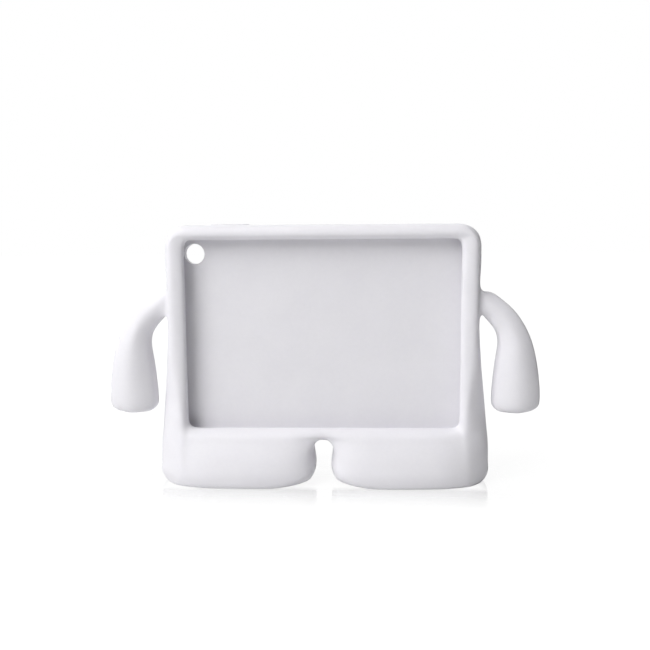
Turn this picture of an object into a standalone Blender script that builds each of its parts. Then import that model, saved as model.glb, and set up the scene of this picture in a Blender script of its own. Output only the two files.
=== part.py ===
"""Shockproof case for a small tablet, moulded in one piece from closed-cell foam.

A rounded frame with a soft lip holds the tablet in a pocket. Two broad feet carry the case, and an
arm on each side serves as a handle. The front faces -Y, and the case stands on z = 0.

The outer form is half a lattice of cells, mirrored and smoothed by a Subdivision Surface. The cage
is settled first, so that the smooth surface passes through the design points and keeps their sizes.
"""

import math

import bmesh
import bpy
from mathutils import Matrix, Vector

MM = 0.001

# Tablet that the pocket is made for, lying on its long side
TABLET_WIDTH = 200.0 * MM
TABLET_HEIGHT = 134.7 * MM
TABLET_THICKNESS = 7.5 * MM
TABLET_CORNER_RADIUS = 10.0 * MM
TABLET_CENTRE_HEIGHT = 103.2 * MM
POCKET_CLEARANCE = 0.4 * MM

# Frame round the tablet
SIDE_WALL = 5.5 * MM
TOP_WALL = 6.9 * MM
BACK_WALL = 8.7 * MM
LIP_THICKNESS = 6.0 * MM
LIP_OVERLAP_SIDE = 7.4 * MM
LIP_OVERLAP_TOP = 2.7 * MM
LIP_OVERLAP_BOTTOM = 3.8 * MM
SCREEN_PLANE_Y = -4.57 * MM
EDGE_ROUND = 6.2 * MM
FRAME_CORNER_RADIUS = 14.5 * MM
WINDOW_CORNER_RADIUS = 5.5 * MM

# Feet, and the skirt above them where the frame widens
HIP_FLARE = 8.6 * MM
FOOT_FRONT_REACH = 10.5 * MM
FOOT_BACK_REACH = 9.0 * MM
FOOT_MIDDLE_SHARE = 0.5
SOLE_ROUND = 7.5 * MM
SOLE_SINK = 0.7 * MM
SKIRT_TOP = 98.0 * MM
SKIRT_MIDDLE = 48.0 * MM
SKIRT_BOTTOM = 28.0 * MM
HIP_HEIGHT = 16.0 * MM
HEEL_TOP = 72.0 * MM
FULL_BULGE_HEIGHT = 9.5 * MM

# Notch between the feet
NOTCH_WALL = 5.0 * MM
NOTCH_HALF_WIDTH = 6.7 * MM
NOTCH_NECK_HALF_WIDTH = 5.4 * MM
NOTCH_NECK_HEIGHT = 13.8 * MM
TOE_ROUND = 7.8 * MM

# Arms: each leaves the frame's side, bends down and ends in a blunt tip
ARM_ROOT_TOP = 134.6 * MM
ARM_ROOT_BOTTOM = 115.9 * MM
ARM_REACH = 41.9 * MM
ARM_DROP = 85.0 * MM
ARM_TIP_DEPTH = 26.0 * MM

# Openings in the walls
CAMERA_HOLE_DIAMETER = 14.0 * MM
CAMERA_INSET_X = 12.5 * MM
CAMERA_INSET_Z = 12.0 * MM
PLUG_SLOT_LENGTH = 19.0 * MM
PLUG_SLOT_DEPTH = 7.0 * MM
MOUTH_ROUND = 2.0 * MM

# Button pads that stand proud of the walls
PAD_RISE = 0.6 * MM
PAD_DEPTH = 5.0 * MM
POWER_PAD_LENGTH = 13.0 * MM
POWER_PAD_RISE_ABOVE_CENTRE = 50.0 * MM
VOLUME_PAD_LENGTH = 26.0 * MM
VOLUME_PAD_X = -62.0 * MM

# Sizes that follow from the ones above
POCKET_HALF_WIDTH = TABLET_WIDTH / 2 + POCKET_CLEARANCE
POCKET_HALF_HEIGHT = TABLET_HEIGHT / 2 + POCKET_CLEARANCE
POCKET_FLOOR_Y = SCREEN_PLANE_Y + TABLET_THICKNESS + POCKET_CLEARANCE
POCKET_BOTTOM = TABLET_CENTRE_HEIGHT - POCKET_HALF_HEIGHT
POCKET_TOP = TABLET_CENTRE_HEIGHT + POCKET_HALF_HEIGHT
FRONT_Y = SCREEN_PLANE_Y - LIP_THICKNESS
BACK_Y = POCKET_FLOOR_Y + BACK_WALL
MIDDLE_Y = (FRONT_Y + BACK_Y) / 2
SIDE_X = POCKET_HALF_WIDTH + SIDE_WALL
HIP_HALF_WIDTH = SIDE_X + HIP_FLARE
FOOT_MIDDLE_X = FOOT_MIDDLE_SHARE * HIP_HALF_WIDTH
TOP_Z = POCKET_TOP + TOP_WALL
WINDOW_X = POCKET_HALF_WIDTH - LIP_OVERLAP_SIDE
WINDOW_TOP = POCKET_TOP - LIP_OVERLAP_TOP
WINDOW_BOTTOM = POCKET_BOTTOM + LIP_OVERLAP_BOTTOM
WELL_Y = (SCREEN_PLANE_Y + POCKET_FLOOR_Y) / 2
WELL_DEPTH = POCKET_FLOOR_Y - SCREEN_PLANE_Y
NOTCH_TOP = POCKET_BOTTOM - NOTCH_WALL

# Lattice of the outer form: columns to the side, rows downwards, layers from front to back
WINDOW_COLUMN = 6
SIDE_COLUMN = 8
WINDOW_ROWS = (2, 12)
ARM_ROWS = (5, 7)
ARM_LAYERS = (1, 4)
NOTCH_ROW = 14
SOLE_ROW = 18
WELL_LAYER = 3
BACK_LAYER = 5

# Shares of the arm's reach and drop along its outer and its inner edge, from the root to the tip
ARM_OUTER_EDGE = ((0.160, 0.028), (0.366, 0.090), (0.570, 0.182), (0.742, 0.309), (0.858, 0.445),
                  (0.934, 0.607), (0.978, 0.766), (0.990, 0.880), (0.964, 0.942), (0.862, 0.979), (0.730, 0.991))
ARM_INNER_EDGE = ((0.100, 0.238), (0.206, 0.297), (0.288, 0.365), (0.314, 0.447), (0.294, 0.537),
                  (0.264, 0.648), (0.240, 0.778), (0.228, 0.890), (0.245, 0.953), (0.340, 0.988), (0.500, 0.994))
ARM_TIP_TAPER = (0.93, 0.74, 0.55)
ARM_STATIONS = len(ARM_OUTER_EDGE)

# Sections of the side wall from front to back: inset as a share of EDGE_ROUND, share of the thickness
FRAME_SECTION = ((0.42, 0.05), (0.08, 0.20), (0.0, 0.38), (0.0, 0.60), (0.08, 0.81), (0.45, 0.96))
SKIRT_SECTION = ((1.60, 0.09), (0.78, 0.27), (0.20, 0.47), (0.0, 0.67), (0.20, 0.86), (0.90, 0.98))
FOOT_SECTION = ((0.64, 0.36), (0.13, 0.50), (0.0, 0.62), (0.08, 0.74), (0.42, 0.88), (1.28, 0.97))


def smooth(t):
    t = min(1.0, max(0.0, t))
    return t * t * (3.0 - 2.0 * t)


def mix(a, b, t):
    return a + (b - a) * t


def ramp(value, start, end):
    return min(1.0, max(0.0, (value - start) / (end - start)))


def side_x(z):
    """Half width of the body at a height."""
    if z >= SKIRT_TOP:
        return SIDE_X
    rise = ramp(z, SKIRT_TOP, SKIRT_BOTTOM)
    return mix(SIDE_X, HIP_HALF_WIDTH, 1.0 - (1.0 - rise) ** 1.08)


def front_bulge(z):
    """Share of the foot's reach to the front at a height."""
    return math.sin(ramp(z, WINDOW_BOTTOM + 0.4 * LIP_OVERLAP_BOTTOM, FULL_BULGE_HEIGHT) * math.pi / 2) ** 1.2


def heel_bulge(z):
    """Share of the foot's reach to the back at a height."""
    return smooth(ramp(z, HEEL_TOP, FULL_BULGE_HEIGHT))


def front_y(x, z):
    """Front of the lip and, below it, of the foot, which bows in plan."""
    away = (x - FOOT_MIDDLE_X) / (HIP_HALF_WIDTH - FOOT_MIDDLE_X)
    bow = max(0.0, 1.0 - (1.56 * away ** 2.85 if away > 0.0 else 1.2 * away ** 4))
    return FRONT_Y - FOOT_FRONT_REACH * front_bulge(z) * bow


def back_y(x, z):
    away = (x - FOOT_MIDDLE_X) / (HIP_HALF_WIDTH - FOOT_MIDDLE_X)
    return BACK_Y + FOOT_BACK_REACH * heel_bulge(z) * (1.0 - 0.12 * away * away)


def side_node(layer, z):
    """Point of the outer side at a height, on one of the six layers."""
    skirt = smooth(ramp(z, SKIRT_TOP, SKIRT_MIDDLE))
    foot = smooth(ramp(z, SKIRT_MIDDLE, HIP_HEIGHT))
    inset, share = (mix(mix(a, b, skirt), c, foot) for a, b, c in
                    zip(FRAME_SECTION[layer], SKIRT_SECTION[layer], FOOT_SECTION[layer]))
    reach = FOOT_FRONT_REACH * front_bulge(z)
    y = mix(FRONT_Y - reach, back_y(FOOT_MIDDLE_X, z), share)
    return side_x(z) - inset * EDGE_ROUND, y


def row_height(row, column):
    """Height of a row of the lattice, before the corners and the sole are rounded."""
    rows = (TOP_Z, (TOP_Z + WINDOW_TOP) / 2, WINDOW_TOP, WINDOW_TOP - 1.3 * WINDOW_CORNER_RADIUS,
            mix(ARM_ROOT_TOP, WINDOW_TOP, 0.42), ARM_ROOT_TOP, (ARM_ROOT_TOP + ARM_ROOT_BOTTOM) / 2,
            ARM_ROOT_BOTTOM, mix(ARM_ROOT_BOTTOM, SKIRT_TOP, 0.83), mix(SKIRT_TOP, WINDOW_BOTTOM, 0.27),
            mix(SKIRT_TOP, WINDOW_BOTTOM, 0.61),
            WINDOW_BOTTOM + 1.3 * WINDOW_CORNER_RADIUS, WINDOW_BOTTOM,
            (WINDOW_BOTTOM + NOTCH_TOP) / 2, NOTCH_TOP, 0.75 * NOTCH_TOP, 0.46 * NOTCH_TOP, SOLE_ROUND, 0.0)
    return rows[row]


def column_x(column, z):
    low = smooth(ramp(z, WINDOW_BOTTOM, HIP_HEIGHT))
    crest = mix(WINDOW_X, SIDE_X, mix(0.5, 0.35, smooth(ramp(z, SKIRT_TOP, SKIRT_MIDDLE))))
    corner = WINDOW_X - 1.15 * WINDOW_CORNER_RADIUS
    columns = (0.0, NOTCH_HALF_WIDTH, mix(0.27 * WINDOW_X, NOTCH_HALF_WIDTH + 1.4 * TOE_ROUND, low),
               mix(0.54 * WINDOW_X, 0.61 * FOOT_MIDDLE_X, low), mix(0.80 * WINDOW_X, FOOT_MIDDLE_X, low),
               mix(corner, mix(FOOT_MIDDLE_X, WINDOW_X, 0.61), low),
               WINDOW_X, mix(crest, mix(WINDOW_X, HIP_HALF_WIDTH, 0.36), low), side_x(z))
    return columns[column]


def notch_half_width(z):
    neck = 1.0 - smooth(abs(z - NOTCH_NECK_HEIGHT) / (0.87 * NOTCH_NECK_HEIGHT))
    toe = ramp(z, 1.22 * TOE_ROUND, 0.0) ** 2.2 * 0.62 * TOE_ROUND
    return mix(NOTCH_HALF_WIDTH, NOTCH_NECK_HALF_WIDTH, neck) + toe


def arm_node(station, row, layer):
    """Point of the arm's skin; the stations count from 1 at the root."""
    outer, inner = (Vector((SIDE_X + ARM_REACH * reach, 0.0, ARM_ROOT_TOP - ARM_DROP * drop))
                    for reach, drop in (ARM_OUTER_EDGE[station - 1], ARM_INNER_EDGE[station - 1]))
    across = (row - ARM_ROWS[0]) / (ARM_ROWS[1] - ARM_ROWS[0])
    share = (layer - ARM_LAYERS[0]) / (ARM_LAYERS[1] - ARM_LAYERS[0]) * 2.0 - 1.0
    on_edge, on_face = across in (0.0, 1.0), abs(share) == 1.0
    half_depth = mix(0.30 * (BACK_Y - FRONT_Y), ARM_TIP_DEPTH / 2, smooth(station / 7.0))
    from_tip = ARM_STATIONS - station
    if from_tip < len(ARM_TIP_TAPER):
        half_depth *= ARM_TIP_TAPER[-1 - from_tip]
    # The corners of the section are drawn in, which rounds it
    if on_edge:
        across = mix(across, 0.5, 0.27 if on_face else 0.02)
        share *= 0.72 if on_face else 1.0
    point = outer.lerp(inner, across)
    return Vector((point.x, MIDDLE_Y + share * half_depth, point.z))


def body_node(column, row, layer):
    """Point of the frame and the feet for a node of the lattice."""
    z = row_height(row, column)
    x = column_x(column, z)
    front, back = front_y(x, z), back_y(x, z)
    if column == SIDE_COLUMN:
        x, y = side_node(layer, z)
    elif layer == 0:
        y = front
    elif layer == BACK_LAYER:
        y = back
    else:
        y = mix(front, back, FRAME_SECTION[layer][1])

    # Lip round the window and the well behind it
    in_window = column <= WINDOW_COLUMN and WINDOW_ROWS[0] <= row <= WINDOW_ROWS[1]
    if in_window and layer <= WELL_LAYER:
        soft = (0.22, 0.03, 0.0, 0.0)[layer] * EDGE_ROUND
        y = (mix(FRONT_Y, SCREEN_PLANE_Y, 0.20), mix(FRONT_Y, SCREEN_PLANE_Y, 0.53), SCREEN_PLANE_Y, WELL_Y)[layer]
        on_side = column == WINDOW_COLUMN
        on_top, on_bottom = row == WINDOW_ROWS[0], row == WINDOW_ROWS[1]
        z += soft if on_top else -soft if on_bottom else 0.0
        x += soft if on_side else 0.0
        if on_side and (on_top or on_bottom):
            pull = WINDOW_CORNER_RADIUS * (1.0 - math.sqrt(0.5))
            x -= pull
            z -= pull if on_top else -pull
        return Vector((x, y, z))

    # Top of the frame, rounded like its sides
    if row == 0:
        inset, share = FRAME_SECTION[layer]
        z = TOP_Z - inset * EDGE_ROUND
        y = mix(FRONT_Y, BACK_Y, share)
    if column >= WINDOW_COLUMN and row <= 2 and (row == 0 or column == SIDE_COLUMN):
        inset, share = FRAME_SECTION[layer]
        turn = math.radians(45.0 + 22.5 * (SIDE_COLUMN - column) if row == 0 else 22.5 * (2 - row))
        radius = FRAME_CORNER_RADIUS - inset * EDGE_ROUND
        x = SIDE_X - FRAME_CORNER_RADIUS + radius * math.cos(turn)
        z = TOP_Z - FRAME_CORNER_RADIUS + radius * math.sin(turn)
        y = mix(FRONT_Y, BACK_Y, share)
    elif column == SIDE_COLUMN - 1 and row == 1:
        x -= 0.10 * FRAME_CORNER_RADIUS
        z -= 0.08 * FRAME_CORNER_RADIUS

    # Notch: its ceiling and the inner walls of the feet
    if column <= 1 and row >= NOTCH_ROW:
        edge = (0.42, 0.08, 0.0, 0.0, 0.08, 0.42)[layer]
        share = (0.05, 0.2, 0.4, 0.6, 0.8, 0.95)[layer]
        if row == NOTCH_ROW:
            z = NOTCH_TOP + edge * EDGE_ROUND * 0.8 - (0.2 * NOTCH_HALF_WIDTH if column else 0.0)
            x = 0.8 * NOTCH_HALF_WIDTH if column else 0.0
            lip, heel = front_y(x, NOTCH_TOP), back_y(x, NOTCH_TOP)
        else:
            x = notch_half_width(z) + edge * EDGE_ROUND * 1.2
            lip, heel = front_y(x, z), back_y(x, z)
        y = mix(lip, heel, share)

    # Soles, rounded up into the walls on every side
    if row == SOLE_ROW and column >= 1:
        rise, inset = 0.12 * SOLE_ROUND, 0.48 * SOLE_ROUND
        ends = {0: 0.7 * inset, BACK_LAYER: -inset}.get(layer, 0.0)
        z = rise if ends or column in (1, SIDE_COLUMN) else -SOLE_SINK
        if column == SIDE_COLUMN:
            x, y = side_node(layer, SOLE_ROUND)
            x -= inset * (0.75 if ends else 1.0)
            y += ends * 0.7
        elif column == 1:
            x = notch_half_width(0.24 * TOE_ROUND) + (0.09 * TOE_ROUND if ends else 0.0)
            z = 0.50 * TOE_ROUND
            share = (0.14, 0.24, 0.41, 0.59, 0.77, 0.88)[layer]
            y = mix(front_y(x, SOLE_ROUND), back_y(x, SOLE_ROUND), share)
        else:
            # The toe lifts off the floor before it reaches the notch
            y += ends
            if column == 2:
                z = (0.42 if ends else 0.14) * TOE_ROUND
    return Vector((x, y, z))


def occupied(column, row, layer):
    """Whether a cell of the lattice is filled with foam."""
    if column < 0 or row < 0 or layer < 0:
        return False
    if column >= SIDE_COLUMN:
        return (column < SIDE_COLUMN + ARM_STATIONS and ARM_ROWS[0] <= row < ARM_ROWS[1]
                and ARM_LAYERS[0] <= layer < ARM_LAYERS[1])
    if row >= SOLE_ROW or layer >= BACK_LAYER:
        return False
    in_window = column < WINDOW_COLUMN and WINDOW_ROWS[0] <= row < WINDOW_ROWS[1]
    in_notch = column < 1 and row >= NOTCH_ROW
    return not (in_window and layer < WELL_LAYER) and not in_notch


def lattice_skin():
    """Outer faces of the filled cells of the right half, open at the mirror plane."""
    bm = bmesh.new()
    nodes = {}

    def node(key):
        if key not in nodes:
            column, row, layer = key
            if column > SIDE_COLUMN:
                place = arm_node(column - SIDE_COLUMN, row, layer)
            else:
                place = body_node(column, row, layer)
            nodes[key] = bm.verts.new(place)
        return nodes[key]

    steps = [(axis, way) for axis in range(3) for way in (-1, 1)]
    for column in range(SIDE_COLUMN + ARM_STATIONS):
        for row in range(SOLE_ROW):
            for layer in range(BACK_LAYER):
                cell = (column, row, layer)
                if not occupied(*cell):
                    continue
                for axis, way in steps:
                    beside = list(cell)
                    beside[axis] += way
                    if occupied(*beside) or (axis == 0 and beside[0] < 0):
                        continue
                    u, v = [a for a in range(3) if a != axis]
                    corners = []
                    for du, dv in ((0, 0), (1, 0), (1, 1), (0, 1)):
                        corner = list(cell)
                        corner[axis] += max(way, 0)
                        corner[u] += du
                        corner[v] += dv
                        corners.append(node(tuple(corner)))
                    bm.faces.new(corners)
    return bm


def limit_point(vert):
    """Where the smooth surface ends up for a vertex of the cage."""
    count = len(vert.link_edges)
    beside = sum((edge.other_vert(vert).co for edge in vert.link_edges), Vector())
    across = Vector()
    for face in vert.link_faces:
        ring = list(face.verts)
        across += ring[(ring.index(vert) + 2) % 4].co
    return (vert.co * count * count + beside * 4.0 + across) / (count * count + 5.0 * count)


def settle(bm, rounds):
    """Move the cage until its smooth surface passes through the present points."""
    targets = [vert.co.copy() for vert in bm.verts]
    for _ in range(rounds):
        limits = [limit_point(vert) for vert in bm.verts]
        for vert, target, limit in zip(bm.verts, targets, limits):
            vert.co += target - limit


def clear_scene():
    for thing in list(bpy.data.objects):
        bpy.data.objects.remove(thing, do_unlink=True)


def collection(name):
    group = bpy.data.collections.new(name)
    bpy.context.scene.collection.children.link(group)
    return group


def add_object(name, bm, group):
    bmesh.ops.recalc_face_normals(bm, faces=bm.faces)
    mesh = bpy.data.meshes.new(name)
    bm.to_mesh(mesh)
    bm.free()
    thing = bpy.data.objects.new(name, mesh)
    group.objects.link(thing)
    return thing


def foam_material():
    material = bpy.data.materials.new("moulded_foam")
    material.use_nodes = True
    shader = material.node_tree.nodes["Principled BSDF"]
    shader.inputs["Base Color"].default_value = (0.83, 0.83, 0.85, 1.0)
    shader.inputs["Roughness"].default_value = 0.55
    return material


def body_cage():
    """Full cage of the case: the right half, mirrored and settled."""
    bm = lattice_skin()
    everything = bm.verts[:] + bm.edges[:] + bm.faces[:]
    bmesh.ops.mirror(bm, geom=everything, axis="X", merge_dist=0.01 * MM)
    bmesh.ops.recalc_face_normals(bm, faces=bm.faces)
    settle(bm, 12)
    return bm


def rounded_block(size, axis, radius, segments):
    """Box with the four edges along one axis rounded."""
    bm = bmesh.new()
    bmesh.ops.create_cube(bm, size=1.0, matrix=Matrix.Diagonal(Vector((*size, 1.0))))
    along = Vector([1.0 if a == axis else 0.0 for a in range(3)])
    edges = [edge for edge in bm.edges
             if abs((edge.verts[1].co - edge.verts[0].co).normalized().dot(along)) > 0.9]
    bmesh.ops.bevel(bm, geom=edges, offset=radius, segments=segments, profile=0.5, affect="EDGES")
    return bm


def stadium(length, radius, arc_steps):
    """Points of a slot outline in its own plane, a circle where the length is nothing."""
    points = []
    for side in (1.0, -1.0):
        for step in range(arc_steps + 1):
            turn = math.pi * step / arc_steps
            if length == 0.0 and step == arc_steps:
                continue
            points.append((side * (length / 2 + radius * math.sin(turn)), side * radius * math.cos(turn)))
    return points


def lofted_slot(length, sections, arc_steps):
    """Solid through slot outlines; a section is its depth and its radius."""
    bm = bmesh.new()
    rings = [[bm.verts.new((u, v, depth)) for u, v in stadium(length, radius, arc_steps)]
             for depth, radius in sections]
    for low, high in zip(rings, rings[1:]):
        for i, vert in enumerate(low):
            after = (i + 1) % len(low)
            bm.faces.new((vert, low[after], high[after], high[i]))
    bm.faces.new(rings[0])
    bm.faces.new(rings[-1])
    return bm


def opening(length, radius, wall, reach):
    """Cutter through a wall, its outer mouth rounded; the wall's outer face is at the given depth."""
    start = (wall - reach, radius)
    mouth = [(wall - MOUTH_ROUND * (1.0 - math.sin(turn)), radius + MOUTH_ROUND * (1.0 - math.cos(turn)))
             for turn in (math.radians(d) for d in (0.0, 30.0, 60.0, 85.0))]
    return lofted_slot(length, [start] + mouth + [(wall + 1.5 * MOUTH_ROUND, mouth[-1][1])], 8)


def pad(length, wall):
    """Raised pad over a button, rounded at its edge."""
    radius = PAD_DEPTH / 2
    sections = [(wall - radius, radius), (wall + 0.3 * PAD_RISE, radius),
                (wall + 0.8 * PAD_RISE, radius - 0.3 * PAD_RISE), (wall + PAD_RISE, radius - 0.9 * PAD_RISE)]
    return lofted_slot(length - PAD_DEPTH, sections, 6)


def modify(thing, cutter, operation):
    cutter.hide_render = True
    cutter.display_type = "WIRE"
    boolean = thing.modifiers.new(cutter.name, "BOOLEAN")
    boolean.operation = operation
    boolean.solver = "EXACT"
    boolean.object = cutter


# Turns that bring a cutter's depth axis to the outward side of a wall, its length along the wall
TO_BACK = Matrix.Rotation(math.radians(-90.0), 4, "X")
TO_RIGHT = Matrix.Rotation(math.radians(90.0), 4, "Y")
TO_LEFT = Matrix.Rotation(math.radians(-90.0), 4, "Y")


def build():
    clear_scene()
    parts = collection("tablet_case")
    cutters = collection("cutters")

    case = add_object("foam_case", body_cage(), parts)
    case.data.materials.append(foam_material())
    smoothing = case.modifiers.new("soft_form", "SUBSURF")
    smoothing.levels = smoothing.render_levels = 1

    def place(name, bm, turn, where, operation):
        bmesh.ops.transform(bm, matrix=Matrix.Translation(where) @ turn, verts=bm.verts)
        modify(case, add_object(name, bm, cutters), operation)

    place("power_pad", pad(POWER_PAD_LENGTH, SIDE_X), TO_LEFT,
          Vector((0.0, WELL_Y, TABLET_CENTRE_HEIGHT + POWER_PAD_RISE_ABOVE_CENTRE)), "UNION")
    place("volume_pad", pad(VOLUME_PAD_LENGTH, TOP_Z), Matrix.Identity(4),
          Vector((VOLUME_PAD_X, WELL_Y, 0.0)), "UNION")

    depth = 2.0 * SOLE_ROUND
    slab = rounded_block((2.4 * HIP_HALF_WIDTH, 3.0 * (BACK_Y - FRONT_Y), depth), 2, 0.1 * depth, 1)
    place("floor_plane", slab, Matrix.Identity(4), Vector((0.0, MIDDLE_Y, -depth / 2)), "DIFFERENCE")
    pocket_size = (2 * POCKET_HALF_WIDTH, WELL_DEPTH, 2 * POCKET_HALF_HEIGHT)
    place("pocket", rounded_block(pocket_size, 1, TABLET_CORNER_RADIUS, 6), Matrix.Identity(4),
          Vector((0.0, WELL_Y, TABLET_CENTRE_HEIGHT)), "DIFFERENCE")
    place("camera_hole", opening(0.0, CAMERA_HOLE_DIAMETER / 2, BACK_Y, BACK_WALL + WELL_DEPTH / 4), TO_BACK,
          Vector((CAMERA_INSET_X - TABLET_WIDTH / 2, 0.0,
                  TABLET_CENTRE_HEIGHT + TABLET_HEIGHT / 2 - CAMERA_INSET_Z)), "DIFFERENCE")
    slot_radius = PLUG_SLOT_DEPTH / 2
    place("plug_slot", opening(PLUG_SLOT_LENGTH - PLUG_SLOT_DEPTH, slot_radius, SIDE_X, SIDE_WALL + WELL_DEPTH / 4),
          TO_RIGHT, Vector((0.0, WELL_Y, TABLET_CENTRE_HEIGHT)), "DIFFERENCE")


build()
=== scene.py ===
"""White foam tablet case: how its moulded foam looks on a pale studio floor.

The case is one soft moulding. Its skin is half a lattice of cells, mirrored, settled and smoothed,
then cut for the pocket, the camera hole and the plug slot. The front faces -Y and the soles stand
on z = 0.
"""

import math

import bmesh
import bpy
from mathutils import Matrix, Vector


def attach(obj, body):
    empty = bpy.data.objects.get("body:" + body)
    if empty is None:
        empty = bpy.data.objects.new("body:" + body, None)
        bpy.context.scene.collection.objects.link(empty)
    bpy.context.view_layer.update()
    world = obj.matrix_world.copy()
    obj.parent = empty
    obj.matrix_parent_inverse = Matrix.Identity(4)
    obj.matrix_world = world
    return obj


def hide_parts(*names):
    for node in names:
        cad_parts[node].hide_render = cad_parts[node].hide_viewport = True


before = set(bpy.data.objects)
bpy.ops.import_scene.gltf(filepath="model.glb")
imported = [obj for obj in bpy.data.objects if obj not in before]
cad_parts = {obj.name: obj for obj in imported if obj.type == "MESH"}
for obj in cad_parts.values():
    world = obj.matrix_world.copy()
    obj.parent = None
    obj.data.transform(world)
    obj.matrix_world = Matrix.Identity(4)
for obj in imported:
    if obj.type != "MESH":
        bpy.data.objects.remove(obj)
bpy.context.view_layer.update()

MM = 0.001

# What the pocket is made to hold, lying on its long side
TABLET_WIDTH = 200.0 * MM
TABLET_HEIGHT = 134.7 * MM
TABLET_THICKNESS = 7.5 * MM
TABLET_CORNER_RADIUS = 10.0 * MM
TABLET_CENTRE_HEIGHT = 103.2 * MM
POCKET_CLEARANCE = 0.4 * MM

# Frame round the pocket
SIDE_WALL = 5.5 * MM
TOP_WALL = 6.9 * MM
BACK_WALL = 8.7 * MM
LIP_THICKNESS = 6.0 * MM
LIP_OVERLAP_SIDE = 7.4 * MM
LIP_OVERLAP_TOP = 2.7 * MM
LIP_OVERLAP_BOTTOM = 3.8 * MM
SCREEN_PLANE_Y = -4.57 * MM
EDGE_ROUND = 6.2 * MM
FRAME_CORNER_RADIUS = 14.5 * MM
WINDOW_CORNER_RADIUS = 5.5 * MM

# Feet, and the skirt above them where the frame widens
HIP_FLARE = 8.6 * MM
FOOT_FRONT_REACH = 10.5 * MM
FOOT_BACK_REACH = 9.0 * MM
FOOT_MIDDLE_SHARE = 0.5
SOLE_ROUND = 7.5 * MM
SOLE_SINK = 0.7 * MM
SKIRT_TOP = 98.0 * MM
SKIRT_MIDDLE = 48.0 * MM
SKIRT_BOTTOM = 28.0 * MM
HIP_HEIGHT = 16.0 * MM
HEEL_TOP = 72.0 * MM
FULL_BULGE_HEIGHT = 9.5 * MM

# Notch between the feet
NOTCH_WALL = 5.0 * MM
NOTCH_HALF_WIDTH = 6.7 * MM
NOTCH_NECK_HALF_WIDTH = 5.4 * MM
NOTCH_NECK_HEIGHT = 13.8 * MM
TOE_ROUND = 7.8 * MM

# Arms: each leaves the frame's side, bends down and ends in a blunt tip
ARM_ROOT_TOP = 134.6 * MM
ARM_ROOT_BOTTOM = 115.9 * MM
ARM_REACH = 41.9 * MM
ARM_DROP = 85.0 * MM
ARM_TIP_DEPTH = 26.0 * MM

# Openings in the walls
CAMERA_HOLE_DIAMETER = 14.0 * MM
CAMERA_INSET_X = 12.5 * MM
CAMERA_INSET_Z = 12.0 * MM
PLUG_SLOT_LENGTH = 19.0 * MM
PLUG_SLOT_DEPTH = 7.0 * MM
MOUTH_ROUND = 2.0 * MM

# Button pads that stand proud of the walls
PAD_RISE = 0.6 * MM
PAD_DEPTH = 5.0 * MM
POWER_PAD_LENGTH = 13.0 * MM
POWER_PAD_RISE_ABOVE_CENTRE = 50.0 * MM
VOLUME_PAD_LENGTH = 26.0 * MM
VOLUME_PAD_X = -62.0 * MM

# Sizes that follow from the ones above
POCKET_HALF_WIDTH = TABLET_WIDTH / 2 + POCKET_CLEARANCE
POCKET_HALF_HEIGHT = TABLET_HEIGHT / 2 + POCKET_CLEARANCE
POCKET_FLOOR_Y = SCREEN_PLANE_Y + TABLET_THICKNESS + POCKET_CLEARANCE
POCKET_BOTTOM = TABLET_CENTRE_HEIGHT - POCKET_HALF_HEIGHT
POCKET_TOP = TABLET_CENTRE_HEIGHT + POCKET_HALF_HEIGHT
FRONT_Y = SCREEN_PLANE_Y - LIP_THICKNESS
BACK_Y = POCKET_FLOOR_Y + BACK_WALL
MIDDLE_Y = (FRONT_Y + BACK_Y) / 2
SIDE_X = POCKET_HALF_WIDTH + SIDE_WALL
HIP_HALF_WIDTH = SIDE_X + HIP_FLARE
FOOT_MIDDLE_X = FOOT_MIDDLE_SHARE * HIP_HALF_WIDTH
TOP_Z = POCKET_TOP + TOP_WALL
WINDOW_X = POCKET_HALF_WIDTH - LIP_OVERLAP_SIDE
WINDOW_TOP = POCKET_TOP - LIP_OVERLAP_TOP
WINDOW_BOTTOM = POCKET_BOTTOM + LIP_OVERLAP_BOTTOM
WELL_Y = (SCREEN_PLANE_Y + POCKET_FLOOR_Y) / 2
WELL_DEPTH = POCKET_FLOOR_Y - SCREEN_PLANE_Y
NOTCH_TOP = POCKET_BOTTOM - NOTCH_WALL

# Lattice of the outer form: columns to the side, rows downwards, layers from front to back
WINDOW_COLUMN = 6
SIDE_COLUMN = 8
WINDOW_ROWS = (2, 12)
ARM_ROWS = (5, 7)
ARM_LAYERS = (1, 4)
NOTCH_ROW = 14
SOLE_ROW = 18
WELL_LAYER = 3
BACK_LAYER = 5

# Shares of the arm's reach and drop along its outer and its inner edge, from the root to the tip
ARM_OUTER_EDGE = ((0.160, 0.028), (0.366, 0.090), (0.570, 0.182), (0.742, 0.309),
                  (0.858, 0.445), (0.934, 0.607), (0.978, 0.766), (0.990, 0.880),
                  (0.964, 0.942), (0.862, 0.979), (0.730, 0.991))
ARM_INNER_EDGE = ((0.100, 0.238), (0.206, 0.297), (0.288, 0.365), (0.314, 0.447),
                  (0.294, 0.537), (0.264, 0.648), (0.240, 0.778), (0.228, 0.890),
                  (0.245, 0.953), (0.340, 0.988), (0.500, 0.994))
ARM_TIP_TAPER = (0.93, 0.74, 0.55)
ARM_STATIONS = len(ARM_OUTER_EDGE)

# Sections of the side wall from front to back: inset as a share of EDGE_ROUND, share of the thickness
FRAME_SECTION = ((0.42, 0.05), (0.08, 0.20), (0.0, 0.38), (0.0, 0.60), (0.08, 0.81), (0.45, 0.96))
SKIRT_SECTION = ((1.60, 0.09), (0.78, 0.27), (0.20, 0.47), (0.0, 0.67), (0.20, 0.86), (0.90, 0.98))
FOOT_SECTION = ((0.64, 0.36), (0.13, 0.50), (0.0, 0.62), (0.08, 0.74), (0.42, 0.88), (1.28, 0.97))
NOTCH_SECTION = ((0.42, 0.05), (0.08, 0.2), (0.0, 0.4), (0.0, 0.6), (0.08, 0.8), (0.42, 0.95))

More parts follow.
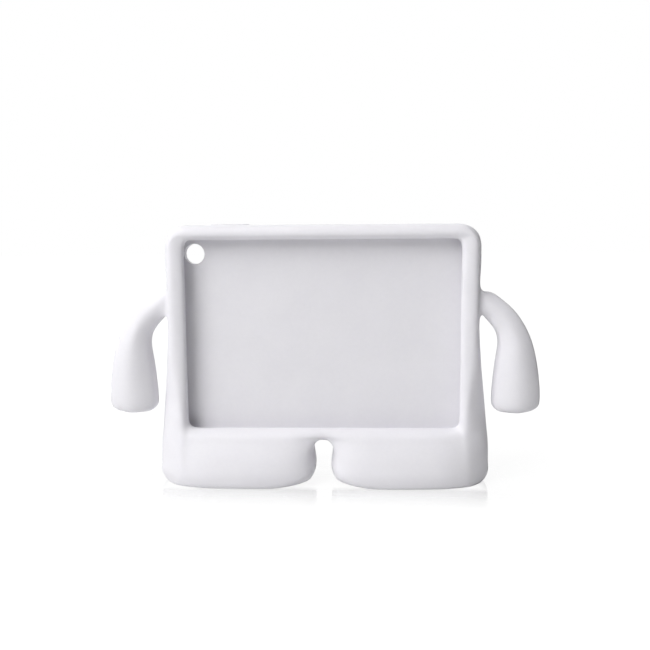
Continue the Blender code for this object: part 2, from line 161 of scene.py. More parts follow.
# Lip from front to back: how far its edge is drawn back, as a share of EDGE_ROUND, and where its first
# two points lie between its front and its back
LIP_INSET = (0.22, 0.03, 0.0, 0.0)
LIP_DEPTH = (0.20, 0.53)

# Toe beside the notch: where its six points lie between the front and the back of the foot
TOE_SHARE = (0.14, 0.24, 0.41, 0.59, 0.77, 0.88)

# How finely things are made
SETTLE_ROUNDS = 12
MERGE_DISTANCE = 0.01 * MM
POCKET_CORNER_STEPS = 14
OPENING_ARC_STEPS = 8
PAD_ARC_STEPS = 6


def smooth(t):
    """Soft step from 0 to 1."""
    t = min(1.0, max(0.0, t))
    return t * t * (3.0 - 2.0 * t)


def mix(a, b, t):
    """Value a share of the way from one to another."""
    return a + (b - a) * t


def ramp(value, start, end):
    """How far a value lies on the way from the start to the end, from 0 to 1."""
    return min(1.0, max(0.0, (value - start) / (end - start)))


def side_x(z):
    """Half width of the body at a height."""
    if z >= SKIRT_TOP:
        return SIDE_X
    rise = ramp(z, SKIRT_TOP, SKIRT_BOTTOM)
    return mix(SIDE_X, HIP_HALF_WIDTH, 1.0 - (1.0 - rise) ** 1.08)


def front_bulge(z):
    """Share of the foot's reach to the front at a height."""
    return math.sin(ramp(z, WINDOW_BOTTOM + 0.4 * LIP_OVERLAP_BOTTOM, FULL_BULGE_HEIGHT) * math.pi / 2) ** 1.2


def heel_bulge(z):
    """Share of the foot's reach to the back at a height."""
    return smooth(ramp(z, HEEL_TOP, FULL_BULGE_HEIGHT))


def front_y(x, z):
    """Front of the lip and, below it, of the foot, which bows in plan."""
    away = (x - FOOT_MIDDLE_X) / (HIP_HALF_WIDTH - FOOT_MIDDLE_X)
    bow = max(0.0, 1.0 - (1.56 * away ** 2.85 if away > 0.0 else 1.2 * away ** 4))
    return FRONT_Y - FOOT_FRONT_REACH * front_bulge(z) * bow


def back_y(x, z):
    """Back of the frame and, below it, of the heel."""
    away = (x - FOOT_MIDDLE_X) / (HIP_HALF_WIDTH - FOOT_MIDDLE_X)
    return BACK_Y + FOOT_BACK_REACH * heel_bulge(z) * (1.0 - 0.12 * away * away)


def side_node(layer, z):
    """Point of the outer side at a height, on one of the six layers."""
    skirt = smooth(ramp(z, SKIRT_TOP, SKIRT_MIDDLE))
    foot = smooth(ramp(z, SKIRT_MIDDLE, HIP_HEIGHT))
    inset, share = (mix(mix(a, b, skirt), c, foot) for a, b, c in
                    zip(FRAME_SECTION[layer], SKIRT_SECTION[layer], FOOT_SECTION[layer]))
    reach = FOOT_FRONT_REACH * front_bulge(z)
    y = mix(FRONT_Y - reach, back_y(FOOT_MIDDLE_X, z), share)
    return side_x(z) - inset * EDGE_ROUND, y


def row_height(row):
    """Height of a row of the lattice, before the corners and the sole are rounded."""
    rows = (TOP_Z, mix(WINDOW_TOP, TOP_Z, 0.34), WINDOW_TOP, WINDOW_TOP - 1.3 * WINDOW_CORNER_RADIUS,
            mix(ARM_ROOT_TOP, WINDOW_TOP, 0.42), ARM_ROOT_TOP, (ARM_ROOT_TOP + ARM_ROOT_BOTTOM) / 2,
            ARM_ROOT_BOTTOM, mix(ARM_ROOT_BOTTOM, SKIRT_TOP, 0.83), mix(SKIRT_TOP, WINDOW_BOTTOM, 0.27),
            mix(SKIRT_TOP, WINDOW_BOTTOM, 0.61),
            WINDOW_BOTTOM + 1.3 * WINDOW_CORNER_RADIUS, WINDOW_BOTTOM,
            (WINDOW_BOTTOM + NOTCH_TOP) / 2, NOTCH_TOP, 0.75 * NOTCH_TOP, 0.46 * NOTCH_TOP, SOLE_ROUND, 0.0)
    return rows[row]


def column_x(column, z):
    """Distance of a column from the middle; below the window the columns spread over the foot."""
    low = smooth(ramp(z, WINDOW_BOTTOM, HIP_HEIGHT))
    crest = mix(WINDOW_X, SIDE_X, mix(0.5, 0.35, smooth(ramp(z, SKIRT_TOP, SKIRT_MIDDLE))))
    corner = WINDOW_X - 1.15 * WINDOW_CORNER_RADIUS
    columns = (0.0, NOTCH_HALF_WIDTH, mix(0.27 * WINDOW_X, NOTCH_HALF_WIDTH + 1.4 * TOE_ROUND, low),
               mix(0.54 * WINDOW_X, 0.61 * FOOT_MIDDLE_X, low), mix(0.80 * WINDOW_X, FOOT_MIDDLE_X, low),
               mix(corner, mix(FOOT_MIDDLE_X, WINDOW_X, 0.61), low),
               WINDOW_X, mix(crest, mix(WINDOW_X, HIP_HALF_WIDTH, 0.36), low), side_x(z))
    return columns[column]


def notch_half_width(z):
    """Half width of the notch, narrowest at its neck and open at the toes."""
    neck = 1.0 - smooth(abs(z - NOTCH_NECK_HEIGHT) / (0.87 * NOTCH_NECK_HEIGHT))
    toe = ramp(z, 1.22 * TOE_ROUND, 0.0) ** 2.2 * 0.62 * TOE_ROUND
    return mix(NOTCH_HALF_WIDTH, NOTCH_NECK_HALF_WIDTH, neck) + toe


def arm_node(station, row, layer):
    """Point of the arm's skin; the stations count from 1 at the root."""
    outer, inner = (Vector((SIDE_X + ARM_REACH * reach, 0.0, ARM_ROOT_TOP - ARM_DROP * drop))
                    for reach, drop in (ARM_OUTER_EDGE[station - 1], ARM_INNER_EDGE[station - 1]))
    across = (row - ARM_ROWS[0]) / (ARM_ROWS[1] - ARM_ROWS[0])
    share = (layer - ARM_LAYERS[0]) / (ARM_LAYERS[1] - ARM_LAYERS[0]) * 2.0 - 1.0
    on_edge, on_face = across in (0.0, 1.0), abs(share) == 1.0
    half_depth = mix(0.30 * (BACK_Y - FRONT_Y), ARM_TIP_DEPTH / 2, smooth(station / 7.0))
    from_tip = ARM_STATIONS - station
    if from_tip < len(ARM_TIP_TAPER):
        half_depth *= ARM_TIP_TAPER[-1 - from_tip]
    # The corners of the section are drawn in, which rounds it
    if on_edge:
        across = mix(across, 0.5, 0.27 if on_face else 0.02)
        share *= 0.72 if on_face else 1.0
    point = outer.lerp(inner, across)
    return Vector((point.x, MIDDLE_Y + share * half_depth, point.z))


def body_node(column, row, layer):
    """Point of the frame and the feet for a node of the lattice."""
    z = row_height(row)
    x = column_x(column, z)
    front, back = front_y(x, z), back_y(x, z)
    if column == SIDE_COLUMN:
        x, y = side_node(layer, z)
    elif layer == 0:
        y = front
    elif layer == BACK_LAYER:
        y = back
    else:
        y = mix(front, back, FRAME_SECTION[layer][1])

    # Lip round the window and the well behind it
    in_window = column <= WINDOW_COLUMN and WINDOW_ROWS[0] <= row <= WINDOW_ROWS[1]
    if in_window and layer <= WELL_LAYER:
        soft = LIP_INSET[layer] * EDGE_ROUND
        lip = [mix(FRONT_Y, SCREEN_PLANE_Y, share) for share in LIP_DEPTH]
        y = (*lip, SCREEN_PLANE_Y, WELL_Y)[layer]
        on_side = column == WINDOW_COLUMN
        on_top, on_bottom = row == WINDOW_ROWS[0], row == WINDOW_ROWS[1]
        z += soft if on_top else -soft if on_bottom else 0.0
        x += soft if on_side else 0.0
        if on_side and (on_top or on_bottom):
            pull = WINDOW_CORNER_RADIUS * (1.0 - math.sqrt(0.5))
            x -= pull
            z -= pull if on_top else -pull
        return Vector((x, y, z))

    # Top of the frame, rounded like its sides
    if row == 0:
        inset, share = FRAME_SECTION[layer]
        z = TOP_Z - inset * EDGE_ROUND
        y = mix(FRONT_Y, BACK_Y, share)
    if column >= WINDOW_COLUMN and row <= 2 and (row == 0 or column == SIDE_COLUMN):
        inset, share = FRAME_SECTION[layer]
        turn = math.radians(45.0 + 22.5 * (SIDE_COLUMN - column) if row == 0 else 22.5 * (2 - row))
        radius = FRAME_CORNER_RADIUS - inset * EDGE_ROUND
        x = SIDE_X - FRAME_CORNER_RADIUS + radius * math.cos(turn)
        z = TOP_Z - FRAME_CORNER_RADIUS + radius * math.sin(turn)
        y = mix(FRONT_Y, BACK_Y, share)
    elif column == SIDE_COLUMN - 1 and row == 1:
        x -= 0.10 * FRAME_CORNER_RADIUS
        z -= 0.08 * FRAME_CORNER_RADIUS

    # Notch: its ceiling and the inner walls of the feet
    if column <= 1 and row >= NOTCH_ROW:
        edge, share = NOTCH_SECTION[layer]
        if row == NOTCH_ROW:
            z = NOTCH_TOP + edge * EDGE_ROUND * 0.8 - (0.2 * NOTCH_HALF_WIDTH if column else 0.0)
            x = 0.8 * NOTCH_HALF_WIDTH if column else 0.0
            lip, heel = front_y(x, NOTCH_TOP), back_y(x, NOTCH_TOP)
        else:
            x = notch_half_width(z) + edge * EDGE_ROUND * 1.2
            lip, heel = front_y(x, z), back_y(x, z)
        y = mix(lip, heel, share)

    # Soles, rounded up into the walls on every side
    if row == SOLE_ROW and column >= 1:
        rise, inset = 0.12 * SOLE_ROUND, 0.48 * SOLE_ROUND
        ends = {0: 0.7 * inset, BACK_LAYER: -inset}.get(layer, 0.0)
        z = rise if ends or column in (1, SIDE_COLUMN) else -SOLE_SINK
        if column == SIDE_COLUMN:
            x, y = side_node(layer, SOLE_ROUND)
            x -= inset * (0.75 if ends else 1.0)
            y += ends * 0.7
        elif column == 1:
            x = notch_half_width(0.24 * TOE_ROUND) + (0.09 * TOE_ROUND if ends else 0.0)
            z = 0.50 * TOE_ROUND
            y = mix(front_y(x, SOLE_ROUND), back_y(x, SOLE_ROUND), TOE_SHARE[layer])
        else:
            # The toe lifts off the floor before it reaches the notch
            y += ends
            if column == 2:
                z = (0.42 if ends else 0.14) * TOE_ROUND
    return Vector((x, y, z))


def occupied(column, row, layer):
    """Whether a cell of the lattice is filled with foam."""
    if column < 0 or row < 0 or layer < 0:
        return False
    if column >= SIDE_COLUMN:
        return (column < SIDE_COLUMN + ARM_STATIONS and ARM_ROWS[0] <= row < ARM_ROWS[1]
                and ARM_LAYERS[0] <= layer < ARM_LAYERS[1])
    if row >= SOLE_ROW or layer >= BACK_LAYER:
        return False
    in_window = column < WINDOW_COLUMN and WINDOW_ROWS[0] <= row < WINDOW_ROWS[1]
    in_notch = column < 1 and row >= NOTCH_ROW
    return not (in_window and layer < WELL_LAYER) and not in_notch


def lattice_skin():
    """Outer faces of the filled cells of the right half, open at the mirror plane."""
    bm = bmesh.new()
    nodes = {}

    def node(key):
        if key not in nodes:
            column, row, layer = key
            if column > SIDE_COLUMN:
                place = arm_node(column - SIDE_COLUMN, row, layer)
            else:
                place = body_node(column, row, layer)
            nodes[key] = bm.verts.new(place)
        return nodes[key]

    steps = [(axis, way) for axis in range(3) for way in (-1, 1)]
    for column in range(SIDE_COLUMN + ARM_STATIONS):
        for row in range(SOLE_ROW):
            for layer in range(BACK_LAYER):
                cell = (column, row, layer)
                if not occupied(*cell):
                    continue
                for axis, way in steps:
                    beside = list(cell)
                    beside[axis] += way
                    if occupied(*beside) or (axis == 0 and beside[0] < 0):
                        continue
                    u, v = [a for a in range(3) if a != axis]
                    corners = []
                    for du, dv in ((0, 0), (1, 0), (1, 1), (0, 1)):
                        corner = list(cell)
                        corner[axis] += max(way, 0)
                        corner[u] += du
                        corner[v] += dv
                        corners.append(node(tuple(corner)))
                    bm.faces.new(corners)
    return bm


def limit_point(vert):
    """Where the smooth surface ends up for a vertex of the cage."""
    count = len(vert.link_edges)
    beside = sum((edge.other_vert(vert).co for edge in vert.link_edges), Vector())
    across = Vector()
    for face in vert.link_faces:
        ring = list(face.verts)
        across += ring[(ring.index(vert) + 2) % 4].co
    return (vert.co * count * count + beside * 4.0 + across) / (count * count + 5.0 * count)


def settle(bm, rounds):
    """Move the cage until its smooth surface passes through the present points."""
    targets = [vert.co.copy() for vert in bm.verts]
    for _ in range(rounds):
        limits = [limit_point(vert) for vert in bm.verts]
        for vert, target, limit in zip(bm.verts, targets, limits):
            vert.co += target - limit


def collection(name):
    group = bpy.data.collections.new(name)
    bpy.context.scene.collection.children.link(group)
    return group


def add_object(name, bm, group):
    """Object from a finished bmesh, its faces turned outwards."""
    bmesh.ops.recalc_face_normals(bm, faces=bm.faces)
    mesh = bpy.data.meshes.new(name)
    bm.to_mesh(mesh)
    bm.free()
    thing = bpy.data.objects.new(name, mesh)
    group.objects.link(thing)
    return thing


def body_cage():
    """Full cage of the case: the right half, mirrored and settled."""
    bm = lattice_skin()
    everything = bm.verts[:] + bm.edges[:] + bm.faces[:]
    bmesh.ops.mirror(bm, geom=everything, axis="X", merge_dist=MERGE_DISTANCE)
    bmesh.ops.recalc_face_normals(bm, faces=bm.faces)
    settle(bm, SETTLE_ROUNDS)
    return bm


def rounded_block(size, axis, radius, segments):
    """Box with the four edges along one axis rounded."""
    bm = bmesh.new()
    bmesh.ops.create_cube(bm, size=1.0, matrix=Matrix.Diagonal(Vector((*size, 1.0))))
    along = Vector([1.0 if a == axis else 0.0 for a in range(3)])
    edges = [edge for edge in bm.edges
             if abs((edge.verts[1].co - edge.verts[0].co).normalized().dot(along)) > 0.9]
    bmesh.ops.bevel(bm, geom=edges, offset=radius, segments=segments, profile=0.5, affect="EDGES")
    return bm


def stadium(length, radius, arc_steps):
    """Points of a slot outline in its own plane, a circle where the length is nothing."""
    points = []
    for side in (1.0, -1.0):
        for step in range(arc_steps + 1):
            turn = math.pi * step / arc_steps
            if length == 0.0 and step == arc_steps:
                continue
            points.append((side * (length / 2 + radius * math.sin(turn)), side * radius * math.cos(turn)))
    return points


def lofted_slot(length, sections, arc_steps):
    """Solid through slot outlines; a section is its depth and its radius."""
    bm = bmesh.new()
    rings = [[bm.verts.new((u, v, depth)) for u, v in stadium(length, radius, arc_steps)]
             for depth, radius in sections]
    for low, high in zip(rings, rings[1:]):
        for i, vert in enumerate(low):
            after = (i + 1) % len(low)
            bm.faces.new((vert, low[after], high[after], high[i]))
    bm.faces.new(rings[0])
    bm.faces.new(rings[-1])
    return bm


def opening(length, radius, wall, reach):
    """Cutter through a wall, its outer mouth rounded; the wall's outer face is at the given depth."""
    start = (wall - reach, radius)
    mouth = [(wall - MOUTH_ROUND * (1.0 - math.sin(turn)), radius + MOUTH_ROUND * (1.0 - math.cos(turn)))
             for turn in (math.radians(d) for d in (0.0, 30.0, 60.0, 85.0))]
    end = (wall + 1.5 * MOUTH_ROUND, mouth[-1][1])
    return lofted_slot(length, [start, *mouth, end], OPENING_ARC_STEPS)


def pad(length, wall):
    """Raised pad over a button, rounded at its edge."""
    radius = PAD_DEPTH / 2
    sections = [(wall - radius, radius), (wall + 0.3 * PAD_RISE, radius),
                (wall + 0.8 * PAD_RISE, radius - 0.3 * PAD_RISE), (wall + PAD_RISE, radius - 0.9 * PAD_RISE)]
    return lofted_slot(length - PAD_DEPTH, sections, PAD_ARC_STEPS)


def modify(thing, cutter, operation):
    """Join the cutter to the thing or take it away from it."""
    boolean = thing.modifiers.new(cutter.name, "BOOLEAN")
    boolean.operation = operation
    boolean.solver = "EXACT"
    boolean.object = cutter


# Turns that bring a cutter's depth axis to the outward side of a wall, its length along the wall
TO_BACK = Matrix.Rotation(math.radians(-90.0), 4, "X")
TO_RIGHT = Matrix.Rotation(math.radians(90.0), 4, "Y")
TO_LEFT = Matrix.Rotation(math.radians(-90.0), 4, "Y")

# Skin of the foam: how finely it is smoothed, and how far a moulded face wanders from true
SKIN_STEPS = 3
SKIN_WANDER = 0.07 * MM
SKIN_WANDER_SIZE = 38.0 * MM
SKIN_WANDER_DETAIL = 1.5
SHARP_ANGLE = math.radians(42.0)

# Foam: its colour, how it takes light, and the sizes of the patterns in its skin
FOAM_DARKER = (0.800, 0.790, 0.826, 1.0)
FOAM_LIGHTER = (0.836, 0.826, 0.858, 1.0)
FOAM_IOR = 1.45
FOAM_SHEEN = 0.35
FOAM_MILKINESS = 0.12
FOAM_LIGHT_DEPTH = (3.5 * MM, 3.5 * MM, 3.8 * MM)
SATIN_ROUGHNESS = 0.38
DULL_ROUGHNESS = 0.50
DULL_PATCH_SIZE = 11.0 * MM
CLOUD_SIZE = 30.0 * MM
MOTTLE_SIZE = 2.2 * MM
MOTTLE_SHARE = 0.35
DIMPLE_SIZE = 5.0 * MM
DIMPLE_DEPTH = 0.12 * MM
DIMPLE_STRENGTH = 0.35
CELL_SIZE = 0.75 * MM
CELL_DEPTH = 0.05 * MM
CELL_STRENGTH = 0.22


def link(tree, start, end):
    tree.links.new(start, end)


def fill(tree, port, value):
    """Link a port to the socket that it reads, or set it to a plain value."""
    if isinstance(value, bpy.types.NodeSocket):
        link(tree, value, port)
    else:
        port.default_value = value


def calculation(tree, operation, *values):
    """Result of a Math node on numbers or sockets."""
    node = tree.nodes.new("ShaderNodeMath")
    node.operation = operation
    for port, value in zip(node.inputs, values):
        fill(tree, port, value)
    return node.outputs[0]


def spread(tree, source, low, high, low_value, high_value):
    """Range of a source carried over to another range, and held at its ends."""
    node = tree.nodes.new("ShaderNodeMapRange")
    for name, value in (("Value", source), ("From Min", low), ("From Max", high),
                        ("To Min", low_value), ("To Max", high_value)):
        fill(tree, node.inputs[name], value)
    return node.outputs["Result"]


def skin_tree(material):
    """Geometry Nodes tree that turns the cage into the foam's skin and sets it down on its soles."""
    tree = bpy.data.node_groups.new("foam_skin", "GeometryNodeTree")
    ports = {}
    for name, kind in (("Cage", "NodeSocketGeometry"), ("Smoothing steps", "NodeSocketInt"),
                       ("Wander", "NodeSocketFloat"), ("Wander size", "NodeSocketFloat"),
                       ("Sole height", "NodeSocketFloat")):
        ports[name] = tree.interface.new_socket(name, in_out="INPUT", socket_type=kind).identifier
    tree.interface.new_socket("Skin", in_out="OUTPUT", socket_type="NodeSocketGeometry")
    add = tree.nodes.new
    given, result = add("NodeGroupInput"), add("NodeGroupOutput")

    smoothed = add("GeometryNodeSubdivisionSurface")
    link(tree, given.outputs["Cage"], smoothed.inputs["Mesh"])
    link(tree, given.outputs["Smoothing steps"], smoothed.inputs["Level"])

    # A moulded foam face is never quite true: it swells and sinks by a few hundredths
    place, outward, swell = (add("GeometryNodeInputPosition"), add("GeometryNodeInputNormal"),
                             add("ShaderNodeTexNoise"))
    swell.inputs["Detail"].default_value = SKIN_WANDER_DETAIL
    link(tree, place.outputs[0], swell.inputs["Vector"])
    link(tree, calculation(tree, "DIVIDE", 1.0, given.outputs["Wander size"]), swell.inputs["Scale"])
    centred = calculation(tree, "SUBTRACT", swell.outputs[0], 0.5)
    push, swollen = add("ShaderNodeVectorMath"), add("GeometryNodeSetPosition")
    push.operation = "SCALE"
    link(tree, outward.outputs[0], push.inputs[0])
    link(tree, calculation(tree, "MULTIPLY", centred, given.outputs["Wander"]), push.inputs["Scale"])
    link(tree, smoothed.outputs[0], swollen.inputs["Geometry"])
    link(tree, push.outputs[0], swollen.inputs["Offset"])

    # The soles are pressed flat where they stand
    level_place, apart, together, standing = (add("GeometryNodeInputPosition"), add("ShaderNodeSeparateXYZ"),
                                              add("ShaderNodeCombineXYZ"), add("GeometryNodeSetPosition"))
    link(tree, level_place.outputs[0], apart.inputs[0])
    link(tree, apart.outputs["X"], together.inputs["X"])
    link(tree, apart.outputs["Y"], together.inputs["Y"])
    lifted = calculation(tree, "MAXIMUM", apart.outputs["Z"], given.outputs["Sole height"])
    link(tree, lifted, together.inputs["Z"])
    link(tree, swollen.outputs[0], standing.inputs["Geometry"])
    link(tree, together.outputs[0], standing.inputs["Position"])

    real, dressed = add("GeometryNodeRealizeInstances"), add("GeometryNodeSetMaterial")
    dressed.inputs["Material"].default_value = material
    link(tree, standing.outputs[0], real.inputs[0])
    link(tree, real.outputs[0], dressed.inputs[0])
    link(tree, dressed.outputs[0], result.inputs[0])
    return tree, ports


def foam_finish():
    """Closed-cell foam with a moulded skin: milky white, satin, finely pebbled."""
    material = bpy.data.materials.new("moulded_foam")
    material.use_nodes = True
    tree = material.node_tree
    add = tree.nodes.new
    foam = tree.nodes["Principled BSDF"]
    foam.inputs["IOR"].default_value = FOAM_IOR
    foam.inputs["Specular IOR Level"].default_value = FOAM_SHEEN
    foam.inputs["Subsurface Weight"].default_value = FOAM_MILKINESS
    foam.inputs["Subsurface Radius"].default_value = FOAM_LIGHT_DEPTH
    foam.inputs["Subsurface Scale"].default_value = 1.0
    where = add("ShaderNodeTexCoord")

    def noise(size, detail, roughness=0.5):
        node = add("ShaderNodeTexNoise")
        node.inputs["Scale"].default_value = 1.0 / size
        node.inputs["Detail"].default_value = detail
        node.inputs["Roughness"].default_value = roughness
        link(tree, where.outputs["Object"], node.inputs["Vector"])
        return node.outputs["Fac"]

    def relief(height, strength, depth):
        node = add("ShaderNodeBump")
        node.inputs["Strength"].default_value = strength
        node.inputs["Distance"].default_value = depth
        link(tree, height, node.inputs["Height"])
        return node

    # Colour: faint clouds from the foaming, and a finer mottle of the skin
    tint, both = add("ShaderNodeValToRGB"), add("ShaderNodeMix")
    for stop, (place, colour) in zip(tint.color_ramp.elements, ((0.30, FOAM_DARKER), (0.70, FOAM_LIGHTER))):
        stop.position = place
        stop.color = colour
    both.inputs[0].default_value = MOTTLE_SHARE
    link(tree, noise(CLOUD_SIZE, 3.0), both.inputs[2])
    link(tree, noise(MOTTLE_SIZE, 2.0, 0.6), both.inputs[3])
    link(tree, both.outputs[0], tint.inputs["Fac"])
    link(tree, tint.outputs["Color"], foam.inputs["Base Color"])

    # Roughness: satin, with duller patches
    patches = spread(tree, noise(DULL_PATCH_SIZE, 3.0), 0.3, 0.7, SATIN_ROUGHNESS, DULL_ROUGHNESS)
    link(tree, patches, foam.inputs["Roughness"])

    # Relief: a fine pebble of closed cells over shallow dimples
    cells = add("ShaderNodeTexVoronoi")
    cells.inputs["Scale"].default_value = 1.0 / CELL_SIZE
    link(tree, where.outputs["Object"], cells.inputs["Vector"])
    dimples = relief(noise(DIMPLE_SIZE, 2.0), DIMPLE_STRENGTH, DIMPLE_DEPTH)
    pebble = relief(cells.outputs["Distance"], CELL_STRENGTH, CELL_DEPTH)
    link(tree, dimples.outputs["Normal"], pebble.inputs["Normal"])
    link(tree, pebble.outputs["Normal"], foam.inputs["Normal"])
    return material


def soft_case(material):
    """The one moulding: the skin of the form, its two button pads, and what is cut out of it."""
    cage = body_cage()
    bench = collection("bench")
    case = add_object("case_blank", cage, bench)
    tree, ports = skin_tree(material)
    skin = case.modifiers.new("foam_skin", "NODES")
    skin.node_group = tree
    for name, value in (("Smoothing steps", SKIN_STEPS), ("Wander", SKIN_WANDER),
                        ("Wander size", SKIN_WANDER_SIZE), ("Sole height", 0.0)):
        skin[ports[name]] = value
    tools = []

    def cut(name, bm, turn, where, operation):
        bmesh.ops.transform(bm, matrix=Matrix.Translation(where) @ turn, verts=bm.verts)
        tool = add_object(name, bm, bench)
        tool.data.materials.append(material)
        modify(case, tool, operation)
        tools.append(tool)

    cut("power_pad", pad(POWER_PAD_LENGTH, SIDE_X), TO_LEFT,
        Vector((0.0, WELL_Y, TABLET_CENTRE_HEIGHT + POWER_PAD_RISE_ABOVE_CENTRE)), "UNION")
    cut("volume_pad", pad(VOLUME_PAD_LENGTH, TOP_Z), Matrix.Identity(4),
        Vector((VOLUME_PAD_X, WELL_Y, 0.0)), "UNION")
    pocket_size = (2 * POCKET_HALF_WIDTH, WELL_DEPTH, 2 * POCKET_HALF_HEIGHT)
    cut("pocket", rounded_block(pocket_size, 1, TABLET_CORNER_RADIUS, POCKET_CORNER_STEPS),
        Matrix.Identity(4), Vector((0.0, WELL_Y, TABLET_CENTRE_HEIGHT)), "DIFFERENCE")
    cut("camera_hole", opening(0.0, CAMERA_HOLE_DIAMETER / 2, BACK_Y, BACK_WALL + WELL_DEPTH / 4), TO_BACK,
        Vector((CAMERA_INSET_X - TABLET_WIDTH / 2, 0.0,
                TABLET_CENTRE_HEIGHT + TABLET_HEIGHT / 2 - CAMERA_INSET_Z)), "DIFFERENCE")
    cut("plug_slot", opening(PLUG_SLOT_LENGTH - PLUG_SLOT_DEPTH, PLUG_SLOT_DEPTH / 2, SIDE_X,
                             SIDE_WALL + WELL_DEPTH / 4),
        TO_RIGHT, Vector((0.0, WELL_Y, TABLET_CENTRE_HEIGHT)), "DIFFERENCE")

    shape = case.evaluated_get(bpy.context.evaluated_depsgraph_get())
    mesh = bpy.data.meshes.new_from_object(shape)
    for thing in tools + [case]:
        bpy.data.objects.remove(thing, do_unlink=True)
    bpy.data.collections.remove(bench)
    mesh.name = "soft_case"
    mesh.materials.clear()
    mesh.materials.append(material)
    for face in mesh.polygons:
        face.use_smooth = True
        face.material_index = 0
    mesh.set_sharp_from_angle(angle=SHARP_ANGLE)
    piece = bpy.data.objects.new("soft_case", mesh)
    bpy.context.scene.collection.objects.link(piece)
    return piece


# Room: strength of its even light, which falls off from the left to the right
ROOM_COLOUR = (0.99, 0.99, 1.0, 1.0)
ROOM_LIGHT_LEFT = 0.26
ROOM_LIGHT_RIGHT = 0.03

# Lamps: azimuth and elevation in degrees, distance and size in metres, power in watts
KEY_LAMP = (-41.0, 34.0, 2.2, 1.4, 31.8)
TOP_LAMP = (-56.0, 66.0, 2.0, 1.4, 16.1)
BACK_LAMP = (-172.0, 44.0, 2.2, 1.4, 12.0)
LAMPS_LOOK_AT = Vector((0.0, 0.0, 0.09))

# Floor: the light it throws back; where it is seen, how much it shades under the case, how far it is
# lifted to white there, and how far from the feet it is all white; then the faint mirror under the toes
FLOOR_REACH = 6.0
FLOOR_DROP = 0.15 * MM
FLOOR_ROUGHNESS = 0.6
FLOOR_BOUNCE = 0.80
FLOOR_SHADE = 0.10
FLOOR_LIFT = 0.91
FLOOR_FADE = 150.0 * MM
MIRROR_SHARE = 0.34
MIRROR_START = 9.0 * MM
MIRROR_FADE = 32.0 * MM
MIRROR_ROUGHNESS = 0.02
WHITE = (1.0, 1.0, 1.0, 1.0)

# Camera: degrees round the middle of the window, metres from it, and the shift in its own plane
CAMERA_AZIMUTH = 2.04
CAMERA_ELEVATION = 6.95
CAMERA_ROLL = -0.38
CAMERA_DISTANCE = 0.5
CAMERA_ASIDE = 1.6 * MM
CAMERA_RAISED = 7.2 * MM
SENSOR_WIDTH = 36.0
PICTURE_WIDTH = 650.0
FOCAL_LENGTH_IN_PIXELS = 738.3


def past_the_feet(tree):
    """How far a point of the floor lies outside the feet's outline."""
    where, apart = tree.nodes.new("ShaderNodeTexCoord"), tree.nodes.new("ShaderNodeSeparateXYZ")
    link(tree, where.outputs["Object"], apart.inputs[0])
    past = []
    for axis, reach in (("X", HIP_HALF_WIDTH), ("Y", FOOT_FRONT_REACH - FRONT_Y)):
        aside = calculation(tree, "ABSOLUTE", apart.outputs[axis])
        past.append(calculation(tree, "SUBTRACT", aside, reach))
    return calculation(tree, "MAXIMUM", *past)


def floor_finish():
    """White board that keeps the shadow under the feet and mirrors them faintly where it is seen."""
    material = bpy.data.materials.new("white_floor")
    material.use_nodes = True
    tree = material.node_tree
    add = tree.nodes.new
    seen, past = add("ShaderNodeLightPath").outputs["Is Camera Ray"], past_the_feet(tree)
    board, tone = tree.nodes["Principled BSDF"], add("ShaderNodeMix")
    board.inputs["Roughness"].default_value = FLOOR_ROUGHNESS
    board.inputs["Specular IOR Level"].default_value = 0.0
    tone.data_type = "RGBA"
    tone.inputs["A"].default_value = (FLOOR_BOUNCE, FLOOR_BOUNCE, FLOOR_BOUNCE, 1.0)
    tone.inputs["B"].default_value = (FLOOR_SHADE, FLOOR_SHADE, FLOOR_SHADE, 1.0)
    link(tree, seen, tone.inputs["Factor"])
    link(tree, tone.outputs["Result"], board.inputs["Base Color"])

    # Glow that lifts the board to white, fully a little way from the feet
    glow, lifted = add("ShaderNodeEmission"), add("ShaderNodeAddShader")
    lift = spread(tree, past, 0.0, FLOOR_FADE, FLOOR_LIFT, 1.0)
    glow.inputs["Color"].default_value = WHITE
    link(tree, calculation(tree, "MULTIPLY", lift, seen), glow.inputs["Strength"])
    link(tree, board.outputs[0], lifted.inputs[0])
    link(tree, glow.outputs[0], lifted.inputs[1])

    # The mirror sets in under the toes and is gone a little way in front of them
    mirror, look = add("ShaderNodeBsdfGlossy"), add("ShaderNodeMixShader")
    start = spread(tree, past, -MIRROR_START, 0.0, 0.0, MIRROR_SHARE)
    share = spread(tree, past, 0.0, MIRROR_FADE, start, 0.0)
    mirror.inputs["Color"].default_value = WHITE
    mirror.inputs["Roughness"].default_value = MIRROR_ROUGHNESS
    link(tree, calculation(tree, "MULTIPLY", share, seen), look.inputs[0])
    link(tree, lifted.outputs[0], look.inputs[1])
    link(tree, mirror.outputs[0], look.inputs[2])
    link(tree, look.outputs[0], tree.nodes["Material Output"].inputs["Surface"])
    return material


def studio_floor():
    """Plain white floor just under the soles."""
    mesh = bpy.data.meshes.new("studio_floor")
    corners = [(FLOOR_REACH * x, FLOOR_REACH * y, 0.0) for x, y in ((-1, -1), (1, -1), (1, 1), (-1, 1))]
    mesh.from_pydata(corners, [], [(0, 1, 2, 3)])
    mesh.materials.append(floor_finish())
    floor = bpy.data.objects.new("studio_floor", mesh)
    floor.location.z = -FLOOR_DROP
    bpy.context.scene.collection.objects.link(floor)


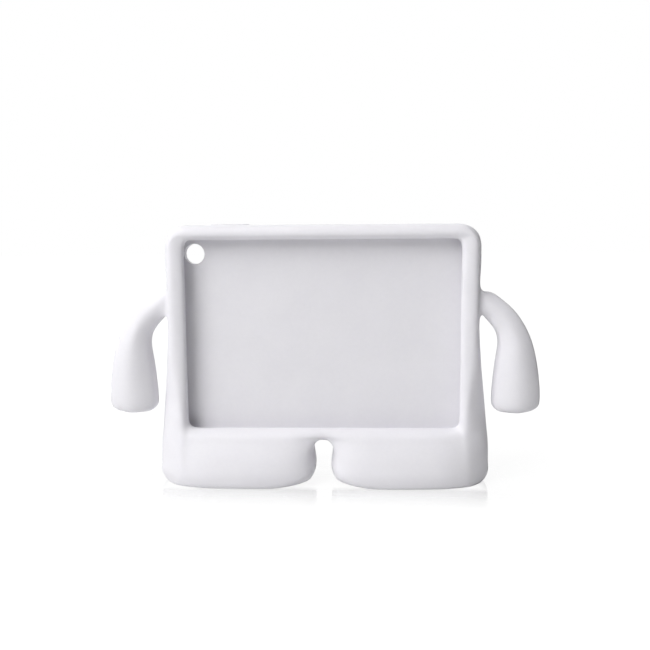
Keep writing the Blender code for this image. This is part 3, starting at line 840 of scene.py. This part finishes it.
def room():
    """Even pale room, plain white where it is seen directly, mirrored or through something."""
    world = bpy.data.worlds.new("pale_room")
    bpy.context.scene.world = world
    world.use_nodes = True
    tree = world.node_tree
    add = tree.nodes.new
    light, toward, apart = tree.nodes["Background"], add("ShaderNodeTexCoord"), add("ShaderNodeSeparateXYZ")
    light.inputs["Color"].default_value = ROOM_COLOUR
    link(tree, toward.outputs["Generated"], apart.inputs[0])
    strength = spread(tree, apart.outputs["X"], -1.0, 1.0, ROOM_LIGHT_LEFT, ROOM_LIGHT_RIGHT)
    link(tree, strength, light.inputs["Strength"])
    white, path, pick = add("ShaderNodeBackground"), add("ShaderNodeLightPath"), add("ShaderNodeMixShader")
    white.inputs["Color"].default_value = WHITE
    shown = calculation(tree, "MAXIMUM", path.outputs["Is Camera Ray"], path.outputs["Is Glossy Ray"])
    shown = calculation(tree, "MAXIMUM", shown, path.outputs["Is Transmission Ray"])
    link(tree, shown, pick.inputs[0])
    link(tree, light.outputs[0], pick.inputs[1])
    link(tree, white.outputs[0], pick.inputs[2])
    link(tree, pick.outputs[0], tree.nodes["World Output"].inputs["Surface"])


def soft_box(name, azimuth, elevation, distance, size, power):
    """Square lamp that faces the case; azimuth 0 is in front of it, and positive to its right."""
    a, e = math.radians(azimuth), math.radians(elevation)
    away = Vector((math.sin(a) * math.cos(e), -math.cos(a) * math.cos(e), math.sin(e)))
    lamp = bpy.data.objects.new(name, bpy.data.lights.new(name, "AREA"))
    lamp.data.shape = "SQUARE"
    lamp.data.size = size
    lamp.data.energy = power
    lamp.location = LAMPS_LOOK_AT + away * distance
    lamp.rotation_mode = "QUATERNION"
    lamp.rotation_quaternion = (-away).to_track_quat("-Z", "Y")
    bpy.context.scene.collection.objects.link(lamp)
    return lamp


def camera():
    """Camera in front, a little to the right and above, as far off as the picture's perspective asks."""
    azimuth, elevation, roll = (math.radians(v) for v in (CAMERA_AZIMUTH, CAMERA_ELEVATION, CAMERA_ROLL))
    away = Vector((math.sin(azimuth) * math.cos(elevation), -math.cos(azimuth) * math.cos(elevation),
                   math.sin(elevation)))
    level = Vector((0.0, 0.0, 1.0)).cross(away).normalized()
    upright = away.cross(level)
    right = level * math.cos(roll) + upright * math.sin(roll)
    up = upright * math.cos(roll) - level * math.sin(roll)
    place = away * CAMERA_DISTANCE + right * CAMERA_ASIDE + up * CAMERA_RAISED
    place += Vector((0.0, SCREEN_PLANE_Y, TABLET_CENTRE_HEIGHT))
    eye = bpy.data.objects.new("camera", bpy.data.cameras.new("camera"))
    rows = [(right[i], up[i], away[i], place[i]) for i in range(3)]
    eye.matrix_world = Matrix(rows + [(0.0, 0.0, 0.0, 1.0)])
    eye.data.sensor_width = SENSOR_WIDTH
    eye.data.lens = FOCAL_LENGTH_IN_PIXELS / PICTURE_WIDTH * SENSOR_WIDTH
    bpy.context.scene.collection.objects.link(eye)
    bpy.context.scene.camera = eye


case = soft_case(foam_finish())
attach(case, "root")
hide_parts("foam_case")

studio_floor()
room()
soft_box("key_lamp", *KEY_LAMP)
soft_box("top_lamp", *TOP_LAMP)
# The back lamp lights the hidden side and isn't mirrored in the floor
soft_box("back_lamp", *BACK_LAMP).visible_glossy = False
camera()
bpy.context.scene.view_settings.view_transform = "Standard"
